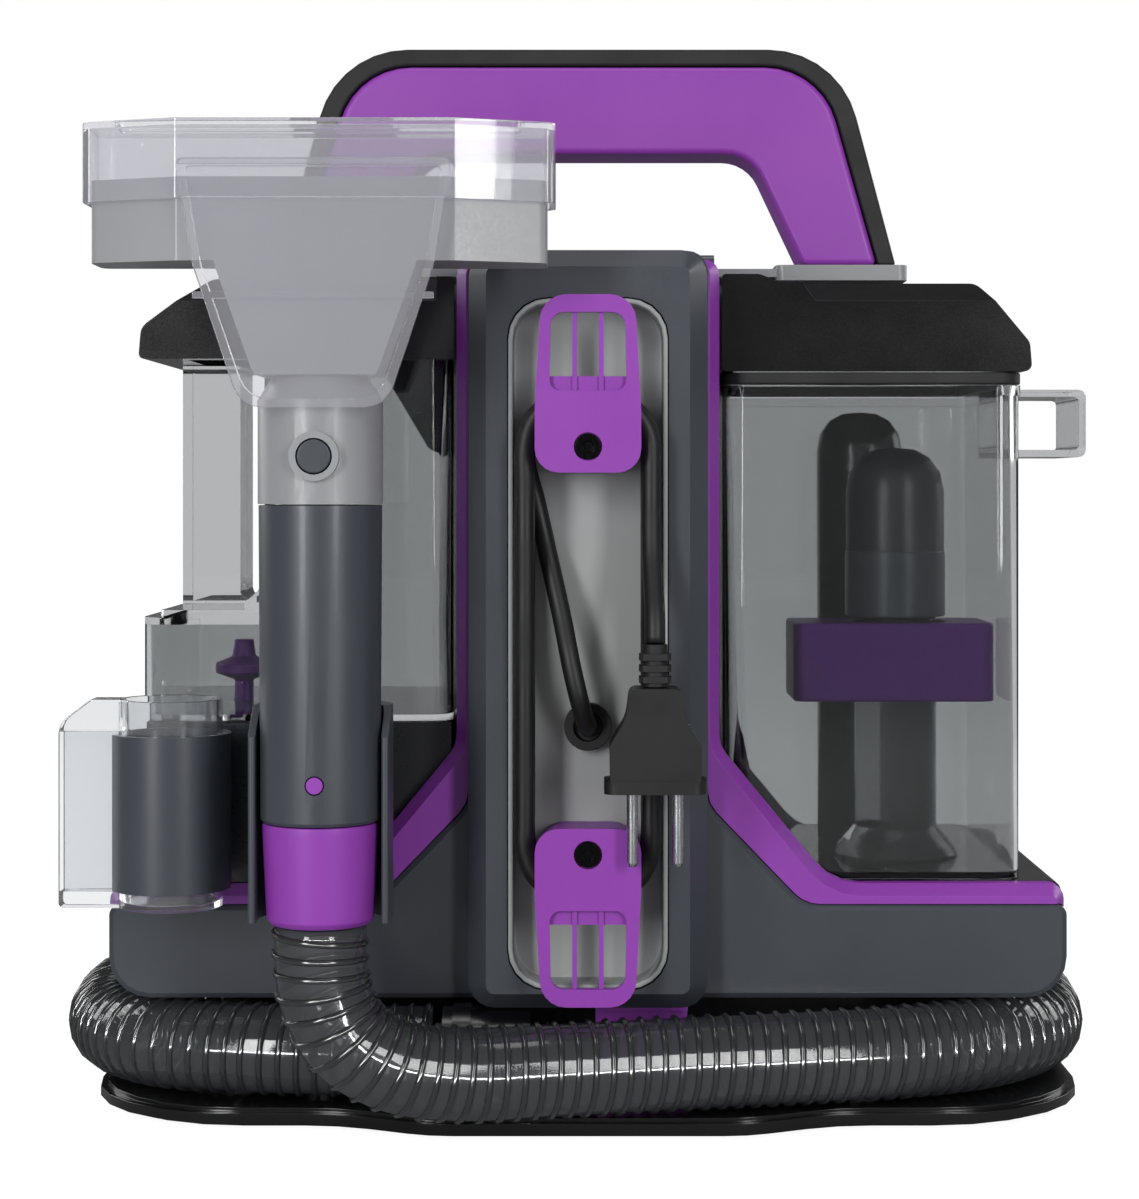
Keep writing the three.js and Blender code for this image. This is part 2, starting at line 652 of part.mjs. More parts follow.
function nozzleCover() {
  const skirt = alongY(apron(0), h.y0 - 3.7, h.y0 - 1.3);
  const rib = cut(alongY(apron(0), h.y0 - 5.2, h.y0 - 1.3), alongY(apron(3), -200, 0));
  const step = box(-43, 43, h.y0 - 5.2, h.y0 - 3.6, 312.8, 315.2);
  const crown = cut(
    upwards(plan(0), h.z1 - 8, h.top),
    upwards(plan(2.2), 0, h.top - 2.2),
    upwards(rounded(-73, 73, -9, 7, 4), 0, 500),
  );
  const bridgeToSkirt = box(-49, 49, h.y0 - 3.6, h.y0 + 1, h.z1 - 7.5, h.z1 + 4);
  return cut(
    join(skirt, rib, step, crown, cut(bridgeToSkirt, upwards(plan(2.2), 0, h.top - 2.2))),
    upwards(plan(2.6), 200, h.z1 + GAP),
  );
}
piece(nozzle, "nozzle_cover", nozzleCover(), smoked);

// ---------------------------------------------------------------- hand tool and clip
const tool = new THREE.Group();
tool.position.set(TOOL.x, TOOL.y, 0);
machine.add(tool);
const t = TOOL;
function handTool() {
  const barrel = upwards(disc(0, 0, t.r, 36), t.z0, t.z1);
  const mouth = alongY(
    outline([[t.mouth, t.z0, 2], [-12, t.z0, 0], [-12, t.z1, 0], [t.mouth + 12, t.z1, 1],
      [t.mouth, t.z1 - 9, 8]]),
    -6.4,
    6.4,
  );
  const bore = upwards(disc(0, 0, t.r - 2.2, 36), t.z0 + 2.5, 300);
  const slit = alongY(
    outline([[t.mouth - 9, t.z0 + 6, 0], [-14, t.z0 + 6, 0], [-14, t.z1 - 12, 0],
      [t.mouth - 9, t.z1 - 12, 0]]),
    -4,
    4,
  );
  return cut(join(barrel, mouth), bore, slit);
}
piece(tool, "hand_tool", handTool(), smoked);
function toolClip() {
  const ring = upwards(disc(0, 0, 22.8, 40), 93, 152);
  const bore = upwards(disc(0, 0, t.r + GAP, 40), 0, 300);
  const gap = box(-60, 0, -9, 9, 0, 300);
  const web = box(-12, 12, 18, 29.6, 98, 146);
  return cut(join(ring, web), bore, gap);
}
piece(tool, "tool_clip", toolClip(), slate);

// ---------------------------------------------------------------- dirty-water tank
const dirty = new THREE.Group();
machine.add(dirty);
const d = DIRTY;
const tankPlan = (tank, inset, corner) =>
  rounded(tank.x0 + inset, tank.x1 - inset, -tank.halfY + inset, tank.halfY - inset, corner);
function dirtyTank() {
  const walls = upwards(tankPlan(d, 0, 10), d.z0, d.rim);
  const hollow = upwards(tankPlan(d, CLEAR_WALL, 8), d.z0 + CLEAR_WALL, d.rim + 1);
  const rim = cut(
    upwards(tankPlan(d, -0.6, 10), d.rim - 4, d.rim),
    upwards(tankPlan(d, 2, 8), 0, 400),
  );
  const { x0, x1, halfY, z0, z1, wall } = FINGER;
  const finger = cut(
    alongY(rounded(x0, x1, z0, z1, 3, 3), -halfY, halfY),
    box(x0 - 20, d.x1 - 0.5, -100, 100, z0 - 50, z1 + 50),
    alongY(rounded(d.x1 + wall, x1 - wall, z0 + wall, z1 - wall, 2, 3), -100, 100),
  );
  return join(cut(walls, hollow), rim, finger);
}
piece(dirty, "dirty_tank", dirtyTank(), smoked);
piece(
  dirty,
  "tank_gasket",
  cut(
    upwards(tankPlan(d, -0.6, 10), d.rim + GAP, d.rim + 5),
    upwards(tankPlan(d, 5, 6), 0, 400),
  ),
  rubber,
);
// What the lids' front and rear slopes take away, within the solid given.
const SLOPE = 0.62; // radians from upright
const lidSlopes = (halfY, within) =>
  [-1, 1].map((sy) =>
    solid(
      new THREE.BoxGeometry(600, 60, 60).rotateX(-sy * SLOPE).translate(0, sy * (halfY + 25.5), 338),
    ).intersect(within),
  );
function dirtyLid() {
  const z0 = d.rim + 5.4;
  const body = alongY(
    outline([[d.x0 - 0.6, z0, 2], [176, z0, 3], [175, 303, 4], [155, 327, 5], [75, 327, 3],
      [68, 330, 3], [d.x0 - 0.6, 330, 1.5]]),
    -d.halfY,
    d.halfY,
  );
  const hollow = box(d.x0 + 3, 163, -d.halfY + 11, d.halfY - 11, 0, 312);
  const saddleCut = box(0, 140, -27, 27, 327.3, 400);
  const sloped = alongY(outline([[73, 345, 0], [240, 345, 0], [240, 280, 0], [110, 289, 0]]), -90, 90);
  return cut(body, ...lidSlopes(d.halfY, sloped), hollow, saddleCut);
}
piece(dirty, "dirty_tank_lid", dirtyLid(), black);

const DUCT = { x: 118, y: 24, r: 18.5 };
const SLEEVE = { x: 128, y: -20, r: 20.4 };
const floorZ = d.z0 + CLEAR_WALL + GAP;
const domed = (r, z0, z1) => [[0, z0], [r, z0], [r, z1 - r * 0.9], [r * 0.92, z1 - r * 0.5],
  [r * 0.7, z1 - r * 0.2], [r * 0.4, z1 - r * 0.04], [0, z1]];
piece(dirty, "suction_duct", turned(domed(DUCT.r, floorZ, 278), DUCT.x, DUCT.y, 32), black);
piece(
  dirty,
  "duct_sleeve",
  turned(domed(SLEEVE.r, 192, 262), SLEEVE.x, SLEEVE.y, 32),
  slate,
);
piece(
  dirty,
  "float_column",
  turned([[0, floorZ], [26, floorZ], [24, floorZ + 4], [17, floorZ + 12], [17, 191.6], [0, 191.6]],
    SLEEVE.x, SLEEVE.y, 32),
  smoked,
);
piece(
  dirty,
  "float",
  cut(
    upwards(rounded(84, 166, -44, 3.5, 5), 158, 190),
    upwards(disc(SLEEVE.x, SLEEVE.y, 17.6 + 3.4, 32), 0, 400),
  ),
  purple,
);

// ---------------------------------------------------------------- clean-water tank
const clean = new THREE.Group();
machine.add(clean);
const c = CLEAN;
const GRIP = { x0: -169, x1: -145, gap: -128, low: 197 };
function cleanTank() {
  const whole = cut(
    upwards(tankPlan(c, 0, 10), c.z0, c.rim),
    alongY(
      outline([[GRIP.x1, c.rim + 9, 0], [GRIP.x1, GRIP.low, 4], [GRIP.gap, GRIP.low + 6, 14],
        [GRIP.gap, c.rim + 9, 0]]),
      -100,
      100,
    ),
    box(-200, GRIP.x0, -100, 100, GRIP.low - 3, 400),
    ...[-1, 1].map((s) => box(-200, -136, s > 0 ? 20 : -100, s > 0 ? 100 : -20, GRIP.low, 400)),
  );
  const mainHollow = upwards(
    rounded(GRIP.gap + 2.4, c.x1 - 2.4, -c.halfY + 2.4, c.halfY - 2.4, 8),
    c.z0 + 2.4,
    400,
  );
  const lowHollow = upwards(tankPlan(c, 2.4, 8), c.z0 + 2.4, GRIP.low - 6);
  const valveHole = upwards(disc(-146, 0, 6.4, 24), 100, 160);
  return cut(whole, mainHollow, lowHollow, valveHole);
}
piece(clean, "clean_tank", cleanTank(), smoked);
function cleanLid() {
  const z0 = c.rim + 0.4;
  const body = alongY(
    outline([[c.x0 - 1, z0, 2], [c.x1 + 0.6, z0, 0], [c.x1 + 0.6, 329, 1.5], [-150, 329, 6],
      [c.x0, 309, 6]]),
    -c.halfY,
    c.halfY,
  );
  const sloped = box(-240, -60, -90, 90, 280, 345);
  return cut(body, ...lidSlopes(c.halfY, sloped), box(-160, c.x1 - 3, -c.halfY + 11, c.halfY - 11, 0, 312));
}
piece(clean, "clean_tank_lid", cleanLid(), black);
// The filler's sloped throat under the lid.
piece(
  clean,
  "filler_funnel",
  alongY(
    outline([[-84, 311, 2], [-84, 292, 3], [-66, 262, 4], [-57.5, 258, 0], [-57.5, 311, 0]]),
    -34,
    34,
  ),
  black,
);
piece(
  clean,
  "tank_valve",
  turned([[0, 154.5], [4, 154.5], [4, 164], [12, 167], [12, 171], [5, 174], [4, 181], [0, 181]],
    -146, 0, 24),
  purple,
);

export default machine;
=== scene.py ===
import json
from functools import cache
from math import ceil, cos, pi, radians, sin

import bmesh
import bpy
from bpy.props import FloatProperty, FloatVectorProperty, PointerProperty
from mathutils import Matrix, Vector


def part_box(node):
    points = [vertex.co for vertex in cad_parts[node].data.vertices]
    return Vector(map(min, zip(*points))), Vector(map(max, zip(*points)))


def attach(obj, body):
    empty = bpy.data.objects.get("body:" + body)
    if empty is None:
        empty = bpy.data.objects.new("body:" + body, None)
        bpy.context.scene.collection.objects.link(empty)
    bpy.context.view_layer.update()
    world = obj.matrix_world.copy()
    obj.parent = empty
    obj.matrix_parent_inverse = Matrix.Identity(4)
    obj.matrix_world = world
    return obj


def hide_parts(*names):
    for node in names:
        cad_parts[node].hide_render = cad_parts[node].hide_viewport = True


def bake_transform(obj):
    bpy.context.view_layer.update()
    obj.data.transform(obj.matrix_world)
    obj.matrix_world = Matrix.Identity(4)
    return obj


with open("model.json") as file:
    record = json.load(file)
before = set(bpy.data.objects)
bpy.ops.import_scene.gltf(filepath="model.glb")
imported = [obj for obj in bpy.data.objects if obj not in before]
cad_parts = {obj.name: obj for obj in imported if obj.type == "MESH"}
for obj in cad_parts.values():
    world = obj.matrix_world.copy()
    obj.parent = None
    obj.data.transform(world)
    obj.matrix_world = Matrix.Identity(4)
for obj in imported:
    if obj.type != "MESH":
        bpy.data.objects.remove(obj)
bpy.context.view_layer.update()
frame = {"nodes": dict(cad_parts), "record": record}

bl_info = {
    "name": "Portable Carpet Cleaner",
    "version": (1, 0, 0),
    "blender": (4, 5, 0),
    "location": "3D View > Sidebar > Cleaner",
    "description": "Builds a portable carpet cleaner round its packed frame",
    "category": "Object",
}

MM = 0.001
# The frame's origin is the middle of the footprint; the tower's axis stands off it.
PANEL_FORWARD = 110 * MM
TOWER_X = sum(corner[0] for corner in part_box("cord_panel")) / 2
TOWER_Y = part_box("cord_panel")[0][1] + PANEL_FORWARD


def at(x, y, z):
    """A point given in millimetres from the tower's axis, in the frame, in metres."""
    return Vector((TOWER_X + x * MM, TOWER_Y + y * MM, z * MM))


# ---------------------------------------------------------------- colours
def linear(colour):
    """An sRGB hex colour as linear RGBA."""
    channels = [int(colour[i : i + 2], 16) / 255 for i in (1, 3, 5)]
    return [c / 12.92 if c <= 0.04045 else ((c + 0.055) / 1.055) ** 2.4 for c in channels] + [1]


def swatch(name, colour, description):
    """A colour for the panel, given in sRGB hex."""
    return FloatVectorProperty(
        name=name, description=description, subtype="COLOR", size=4, default=linear(colour)
    )


class CleanerColours(bpy.types.PropertyGroup):
    slate: swatch("Slate", "#3a3e45", "Dark blue-grey casings")
    purple: swatch("Purple", "#8a36a6", "Trim, carrying handle and cord hooks")
    black: swatch("Black", "#08080a", "Tray, tank lids and pedestal")
    panel: swatch("Panel", "#9d9f9f", "Cord panel")
    nozzle: swatch("Nozzle", "#8f9093", "Nozzle head and neck")
    smoked: swatch("Smoked", "#b4b6b7", "Clear tank walls")
    hose: swatch("Hose", "#2f3133", "Ribbed suction hose")
    cord: swatch("Cord", "#0e0e0e", "Mains cord and plug")


class CleanerSizes(bpy.types.PropertyGroup):
    edge: FloatProperty(
        name="Edge", description="Radius on moulded edges", unit="LENGTH", default=0.7 * MM
    )
    rib_pitch: FloatProperty(
        name="Rib pitch", description="From one hose rib to the next", unit="LENGTH",
        default=6.65 * MM,
    )
    rib_radius: FloatProperty(
        name="Rib radius", description="Half the thickness of the hose's helix", unit="LENGTH",
        default=1.3 * MM,
    )


# ---------------------------------------------------------------- materials
# A Mix node repeats its socket names for each kind of data, so its sockets go by number.
FACTOR, VALUES, COLOURS, MIXED_COLOUR = 0, (2, 3), (6, 7), 2


def add(tree, kind, inputs=(), **settings):
    """Adds a node; inputs are pairs of socket name or number and a value or an output."""
    node = tree.nodes.new(kind)
    for key, value in settings.items():
        setattr(node, key, value)
    for socket, value in inputs:
        if isinstance(value, bpy.types.NodeSocket):
            tree.links.new(value, node.inputs[socket])
        else:
            node.inputs[socket].default_value = value
    return node


def blank(name):
    """A new material, its tree, its Principled shader and its object coordinates in metres."""
    material = bpy.data.materials.new(name)
    material.use_nodes = True
    tree = material.node_tree
    shader = tree.nodes["Principled BSDF"]
    return material, tree, shader, add(tree, "ShaderNodeTexCoord").outputs["Object"]


def grain(tree, place, size_mm, detail=3.0):
    """Noise whose features are size_mm across."""
    inputs = [("Vector", place), ("Scale", 1000 / size_mm), ("Detail", detail)]
    return add(tree, "ShaderNodeTexNoise", inputs).outputs["Fac"]


def uneven(tree, shader, value, low, high, start=0.3, end=0.7):
    """Roughness that goes from low to high where the noise goes from start to end."""
    inputs = [("Value", value), ("From Min", start), ("From Max", end), ("To Min", low),
              ("To Max", high)]
    result = add(tree, "ShaderNodeMapRange", inputs).outputs["Result"]
    tree.links.new(result, shader.inputs["Roughness"])


def mottled(tree, shader, value, colour, change):
    """Base colour that is lighter and darker, by that share, with the noise."""
    dark = [c * (1 - change) for c in colour[:3]] + [1]
    light = [min(c * (1 + change), 1) for c in colour[:3]] + [1]
    inputs = [(FACTOR, value), (COLOURS[0], dark), (COLOURS[1], light)]
    mixed = add(tree, "ShaderNodeMix", inputs, data_type="RGBA").outputs[MIXED_COLOUR]
    tree.links.new(mixed, shader.inputs["Base Color"])


def bumped(tree, shader, height, distance_mm, strength):
    """Surface relief from the noise, distance_mm deep."""
    inputs = [("Height", height), ("Distance", distance_mm * MM), ("Strength", strength)]
    tree.links.new(add(tree, "ShaderNodeBump", inputs).outputs[0], shader.inputs["Normal"])


def moulded(name, colour, rough, texture_mm=0.9, depth_mm=0.03, coat=0.0):
    """Moulded ABS: an even colour, a fine sparked texture and patches of handling sheen."""
    material, tree, shader, place = blank(name)
    sheen = grain(tree, place, 45)
    # The real texture is finer than this, and is drawn coarser so that it shows.
    texture = grain(tree, place, texture_mm, 2.0)
    mottled(tree, shader, sheen, colour, 0.05)
    both = add(tree, "ShaderNodeMath", [(0, sheen), (1, texture)], operation="ADD").outputs[0]
    uneven(tree, shader, both, rough - 0.05, rough + 0.07, 0.7, 1.3)
    shader.inputs["IOR"].default_value = 1.54
    shader.inputs["Coat Weight"].default_value = coat
    shader.inputs["Coat Roughness"].default_value = 0.12
    bumped(tree, shader, texture, depth_mm, 0.35)
    return material


def bounced(tree):
    """Two outputs: 1 for light that left a matt surface, 1 for a glossy one that isn't clear."""
    path = add(tree, "ShaderNodeLightPath").outputs
    ways = [(0, 1.0), (1, path["Is Transmission Ray"])]
    not_through = add(tree, "ShaderNodeMath", ways, operation="SUBTRACT").outputs[0]
    ways = [(0, path["Is Glossy Ray"]), (1, not_through)]
    glossy = add(tree, "ShaderNodeMath", ways, operation="MULTIPLY").outputs[0]
    return path["Is Diffuse Ray"], glossy


def lit_through(tree, shader, colour):
    """Lets lamps and bounced light reach what is behind a clear wall."""
    path = add(tree, "ShaderNodeLightPath")
    ways = [(0, path.outputs["Is Shadow Ray"]), (1, path.outputs["Is Diffuse Ray"])]
    either = add(tree, "ShaderNodeMath", ways, operation="MAXIMUM").outputs[0]
    open_way = add(tree, "ShaderNodeBsdfTransparent", [("Color", colour)]).outputs[0]
    mixed = add(tree, "ShaderNodeMixShader", [(0, either), (1, shader.outputs[0]), (2, open_way)])
    tree.links.new(mixed.outputs[0], tree.nodes["Material Output"].inputs["Surface"])


def clear(name, colour, milk=0.0):
    """Clear moulded plastic: see-through walls with a faint flow ripple, and a share of milk."""
    material, tree, shader, place = blank(name)
    ripple = grain(tree, place, 38, 1.0)
    shader.inputs["Base Color"].default_value = colour
    shader.inputs["Transmission Weight"].default_value = 1.0 - milk
    shader.inputs["IOR"].default_value = 1.45
    uneven(tree, shader, ripple, 0.02, 0.05)
    bumped(tree, shader, ripple, 0.05, 0.2)
    lit_through(tree, shader, colour)
    return material


def corrugated(name, colour):
    """Translucent EVA hose: dark, glossy and a little see-through, with patches of dust."""
    material, tree, shader, place = blank(name)
    dust = grain(tree, place, 16)
    mottled(tree, shader, dust, colour, 0.12)
    uneven(tree, shader, dust, 0.07, 0.13)
    shader.inputs["Alpha"].default_value = 0.6
    shader.inputs["Coat Weight"].default_value = 0.5
    shader.inputs["Coat Roughness"].default_value = 0.08
    return material


def soft_rubber(name, colour, rough=0.6):
    """Matt rubber or PVC: no gloss, a fine tooth and dull rubbed patches."""
    material, tree, shader, place = blank(name)
    rub = grain(tree, place, 22)
    tooth = grain(tree, place, 0.7)
    mottled(tree, shader, rub, colour, 0.15)
    uneven(tree, shader, rub, rough - 0.08, rough + 0.1)
    bumped(tree, shader, tooth, 0.05, 0.4)
    return material


def plated(name, colour, rough=0.22):
    """Plated metal, or metal drawn near-black as painted shade, with faint drawing lines."""
    material, tree, shader, place = blank(name)
    inputs = [("Vector", place), ("Scale", (6.0, 6.0, 0.3))]
    lines = grain(tree, add(tree, "ShaderNodeMapping", inputs).outputs[0], 2)
    mottled(tree, shader, lines, colour, 0.06)
    uneven(tree, shader, lines, rough - 0.06, rough + 0.1)
    shader.inputs["Metallic"].default_value = 1.0
    return material


@cache
def finishes():
    """Every material, made once; the main colours are the panel's."""
    c = bpy.context.scene.cleaner_colours
    return dict(
        slate=moulded("textured_slate_abs", c.slate, 0.36, coat=0.12),
        band=moulded("pale_slate_abs", linear("#5d636b"), 0.36),
        purple=moulded("satin_purple_abs", c.purple, 0.42, 1.2, 0.02),
        black=moulded("gloss_black_abs", c.black, 0.2, 0.5, 0.002, 0.2),
        panel=moulded("textured_panel_abs", c.panel, 0.45),
        nozzle=moulded("satin_nozzle_abs", c.nozzle, 0.34, 1.2, 0.02),
        smoked=clear("smoked_clear_san", c.smoked),
        crystal=clear("clear_polycarbonate", linear("#e2e4e6"), milk=0.04),
        frosted=clear("hazy_nozzle_pc", linear("#dfdfe3"), milk=0.14),
        hose=corrugated("translucent_hose_eva", c.hose),
        helix=moulded("gloss_helix_pvc", linear("#1c1d1e"), 0.14, 3.0, 0.01, 0.5),
        cord=soft_rubber("matt_cord_pvc", c.cord, 0.5),
        rubber=soft_rubber("moulded_black_rubber", linear("#141415")),
        # Painted shade: the hook screws are drawn near-black to stand for the shade in the
        # recesses they sit in.
        screw=plated("steel_in_painted_recess_shade", linear("#1b1b1d"), 0.3),
        column=clear("dark_column_san", linear("#8d8f90")),
        charcoal=moulded("charcoal_abs", linear("#222327"), 0.3),
        float=moulded("deep_purple_pp", linear("#7d12ab"), 0.4, 1.2, 0.02),
        metal=plated("nickel_plated_brass", linear("#c4c6c8")),
    )


# ---------------------------------------------------------------- pieces
def body_of(node):
    """The name of the moving body that holds the node."""
    bodies = frame["record"]["behaviour"]["bodies"]
    return next(body for body, nodes in bodies.items() if node in nodes)


def linked(name, mesh, material):
    """A new object in the scene, with the mesh and one of the finishes."""
    piece = bpy.data.objects.new(name, mesh)
    bpy.context.scene.collection.objects.link(piece)
    piece.data.materials.clear()
    piece.data.materials.append(finishes()[material])
    return piece


def rounded_edges(piece, width, segments=3):
    """A bevel on every edge sharper than 28 degrees, with face-weighted normals."""
    bevel = piece.modifiers.new("edge radius", "BEVEL")
    bevel.width = width
    bevel.segments = segments
    bevel.limit_method = "ANGLE"
    bevel.angle_limit = radians(28)
    bevel.miter_outer = "MITER_ARC"
    weighted = piece.modifiers.new("even shading", "WEIGHTED_NORMAL")
    weighted.keep_sharp = True
    weighted.weight = 80


def copied_mesh(node, joined):
    """A smooth copy of a CAD node's mesh, with its coplanar triangles joined or as they are."""
    shape = bmesh.new()
    shape.from_mesh(frame["nodes"][node].data)
    bmesh.ops.remove_doubles(shape, verts=shape.verts, dist=2e-6)
    if joined:
        bmesh.ops.dissolve_limit(
            shape, angle_limit=radians(0.6), verts=shape.verts, edges=shape.edges
        )
    for face in shape.faces:
        face.smooth = True
    mesh = bpy.data.meshes.new(node + "_skin")
    shape.to_mesh(mesh)
    shape.free()
    return mesh


# How far off a face's drawn area may be: an area, or a share of the face if that is more.
SLACK = 0.5 * MM * MM
SHARE = 0.01


def drawn_as_made(piece):
    """Whether every face, once its edges are rounded, is drawn over its own area only."""
    shown = piece.evaluated_get(bpy.context.evaluated_depsgraph_get())
    mesh = shown.to_mesh()
    mesh.calc_loop_triangles()
    drawn = [0.0] * len(mesh.polygons)
    for triangle in mesh.loop_triangles:
        drawn[triangle.polygon_index] += triangle.area
    right = all(
        abs(area - face.area) <= max(SLACK, SHARE * face.area)
        for area, face in zip(drawn, mesh.polygons)
    )
    shown.to_mesh_clear()
    return right


# No edge radius is made narrower than this to keep its faces whole.
NARROWEST = 0.15 * MM


def skin(node, material, edge, segments=3):
    """A finished copy of a CAD node; its edge radius is edge times the panel's."""
    piece = linked(node + "_skin", copied_mesh(node, joined=True), material)
    rounded_edges(piece, bpy.context.scene.cleaner_sizes.edge * edge, segments)
    # A joined face round a hole can be drawn across the hole; plain triangles can't.
    if not drawn_as_made(piece):
        piece.data = copied_mesh(node, joined=False)
        piece.data.materials.append(finishes()[material])
    # A radius too wide for its narrowest face folds that face over itself.
    bevel = piece.modifiers["edge radius"]
    while not drawn_as_made(piece) and bevel.width > NARROWEST:
        bevel.width *= 0.7
    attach(piece, body_of(node))
    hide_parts(node)
    return piece


def dress(node, material):
    """Gives a hidden CAD node its material as it is."""
    mesh = frame["nodes"][node].data
    mesh.materials.clear()
    mesh.materials.append(finishes()[material])


def between(low, high, start, end, t):
    """The point at t on the line that passes through low at start and high at end."""
    return (low * (end - t) + high * (t - start)) / (end - start)


def curve_span(a, b, c, d, steps):
    """Points from b to just short of c on the centripetal curve through all four."""
    knots = [0.0]
    for u, v in ((a, b), (b, c), (c, d)):
        knots.append(knots[-1] + max((v - u).length, 1e-9) ** 0.5)
    k0, k1, k2, k3 = knots
    for i in range(steps):
        t = k1 + (k2 - k1) * i / steps
        ab, bc, cd = between(a, b, k0, k1, t), between(b, c, k1, k2, t), between(c, d, k2, k3, t)
        abc, bcd = between(ab, bc, k0, k2, t), between(bc, cd, k1, k3, t)
        yield between(abc, bcd, k1, k2, t)


def catmull(points, spacing):
    """Evenly spaced points on a smooth curve through the given ones, and its length."""
    p = [points[0] * 2 - points[1], *points, points[-1] * 2 - points[-2]]
    dense = []
    for a, b, c, d in zip(p, p[1:], p[2:], p[3:]):
        dense.extend(curve_span(a, b, c, d, max(4, ceil(2 * (c - b).length / spacing))))
    dense.append(points[-1])
    lengths = [0.0]
    for u, v in zip(dense, dense[1:]):
        lengths.append(lengths[-1] + (v - u).length)
    count = max(2, round(lengths[-1] / spacing))
    even, i = [], 0
    for k in range(count + 1):
        goal = lengths[-1] * k / count
        while i < len(lengths) - 2 and lengths[i + 1] < goal:
            i += 1
        part = (goal - lengths[i]) / max(lengths[i + 1] - lengths[i], 1e-12)
        even.append(dense[i].lerp(dense[i + 1], min(max(part, 0), 1)))
    return even, lengths[-1]


def swept(name, points, radius, material, resolution=3):
    """A round section swept along points, as a mesh."""
    curve = bpy.data.curves.new(name, "CURVE")
    curve.dimensions = "3D"
    curve.bevel_depth = 1.0
    curve.bevel_resolution = resolution
    curve.use_fill_caps = True
    spline = curve.splines.new("POLY")
    spline.points.add(len(points) - 1)
    for spot, point in zip(spline.points, points):
        spot.co = (*point, 1)
        spot.radius = radius
    spline.use_smooth = True
    shown = bpy.data.objects.new(name + "_curve", curve)
    bpy.context.scene.collection.objects.link(shown)
    mesh = bpy.data.meshes.new_from_object(
        shown.evaluated_get(bpy.context.evaluated_depsgraph_get())
    )
    bpy.data.objects.remove(shown)
    bpy.data.curves.remove(curve)
    mesh.name = name
    shape = bmesh.new()
    shape.from_mesh(mesh)
    bmesh.ops.remove_doubles(shape, verts=shape.verts, dist=1e-6)
    bmesh.ops.recalc_face_normals(shape, faces=shape.faces)
    shape.to_mesh(mesh)
    shape.free()
    mesh.shade_smooth()
    return linked(name, mesh, material)


# ---------------------------------------------------------------- operators
# Name, place, aim, size and power, in metres and watts.
LAMPS = (
    ("key", (-0.85, -1.5, 0.55), (-0.1, 0, 0.2), (0.3, 0.9), 15),
    ("fill", (0.85, -1.5, 0.6), (0, 0, 0.2), (0.3, 0.9), 11),
    ("strip", (0.0, -1.6, 0.05), (0, 0, 0.03), (2.4, 0.07), 36),
    ("top", (0.0, -0.2, 1.8), (0, 0, 0), (0.8, 0.8), 6),
    ("rim_left", (-1.2, 0.7, 0.7), (0, 0, 0.25), (0.6, 0.9), 6),
    ("rim_right", (1.2, 0.7, 0.7), (0, 0, 0.25), (0.6, 0.9), 6),
)
# The floor glows to the camera and through clear walls only. The room glows there too, and
# lights matt and glossy surfaces more dimly.
FLOOR_GLOW = 0.94
ROOM_SEEN, ROOM_TO_MATT, ROOM_TO_GLOSSY = 1.0, 0.32, 0.12


class CLEANER_OT_stage(bpy.types.Operator):
    """Pale floor, soft studio lights and the camera."""

    bl_idname = "cleaner.stage"
    bl_label = "Stage"

    def execute(self, context):
        camera = bpy.data.objects.new("camera", bpy.data.cameras.new("camera"))
        camera.data.sensor_fit = "VERTICAL"
        camera.data.sensor_height = 36.0
        camera.data.lens = 77.0
        camera.data.shift_x = -0.0154
        camera.data.shift_y = -0.0938
        camera.location = at(0, -1090, 245.6)
        camera.rotation_euler = (pi / 2, 0, 0)
        context.scene.collection.objects.link(camera)
        context.scene.camera = camera

        shape = bmesh.new()
        bmesh.ops.create_grid(shape, x_segments=1, y_segments=1, size=6.0)
        mesh = bpy.data.meshes.new("floor")
        shape.to_mesh(mesh)
        shape.free()
        material, tree, shader, place = blank("pale_floor_paint")
        mottled(tree, shader, grain(tree, place, 300), linear("#8c8c8c"), 0.01)
        shader.inputs["Roughness"].default_value = 0.9
        shader.inputs["Specular IOR Level"].default_value = 0.0
        shader.inputs["Emission Color"].default_value = (1, 1, 1, 1)
        matt, glossy = bounced(tree)
        either = add(tree, "ShaderNodeMath", [(0, matt), (1, glossy)], operation="MAXIMUM")
        ways = [(FACTOR, either.outputs[0]), (VALUES[0], FLOOR_GLOW), (VALUES[1], 0.0)]
        glow = add(tree, "ShaderNodeMix", ways)
        tree.links.new(glow.outputs[0], shader.inputs["Emission Strength"])
        floor = bpy.data.objects.new("floor", mesh)
        floor.data.materials.append(material)
        context.scene.collection.objects.link(floor)

        for name, place, aim, size, power in LAMPS:
            light = bpy.data.lights.new(name, "AREA")
            light.shape = "RECTANGLE"
            light.size, light.size_y = size
            light.energy = power
            lamp = bpy.data.objects.new(name, light)
            lamp.location = place
            facing = Vector(aim) - Vector(place)
            lamp.rotation_euler = facing.to_track_quat("-Z", "Y").to_euler()
            context.scene.collection.objects.link(lamp)
            # The strip would show as a white band in every clear wall, so it lights the hose only.
            if name == "strip":
                lamp.light_linking.receiver_collection = bpy.data.collections.new("hose_pieces")

        world = bpy.data.worlds.new("studio")
        world.use_nodes = True
        tree = world.node_tree
        background = tree.nodes["Background"]
        matt, glossy = bounced(tree)
        ways = [(FACTOR, matt), (VALUES[0], ROOM_SEEN), (VALUES[1], ROOM_TO_MATT)]
        soft = add(tree, "ShaderNodeMix", ways).outputs[0]
        ways = [(FACTOR, glossy), (VALUES[0], soft), (VALUES[1], ROOM_TO_GLOSSY)]
        strength = add(tree, "ShaderNodeMix", ways).outputs[0]
        tree.links.new(strength, background.inputs["Strength"])
        background.inputs["Color"].default_value = (1, 1, 1, 1)
        context.scene.world = world
        context.scene.view_settings.view_transform = "Standard"
        return {"FINISHED"}


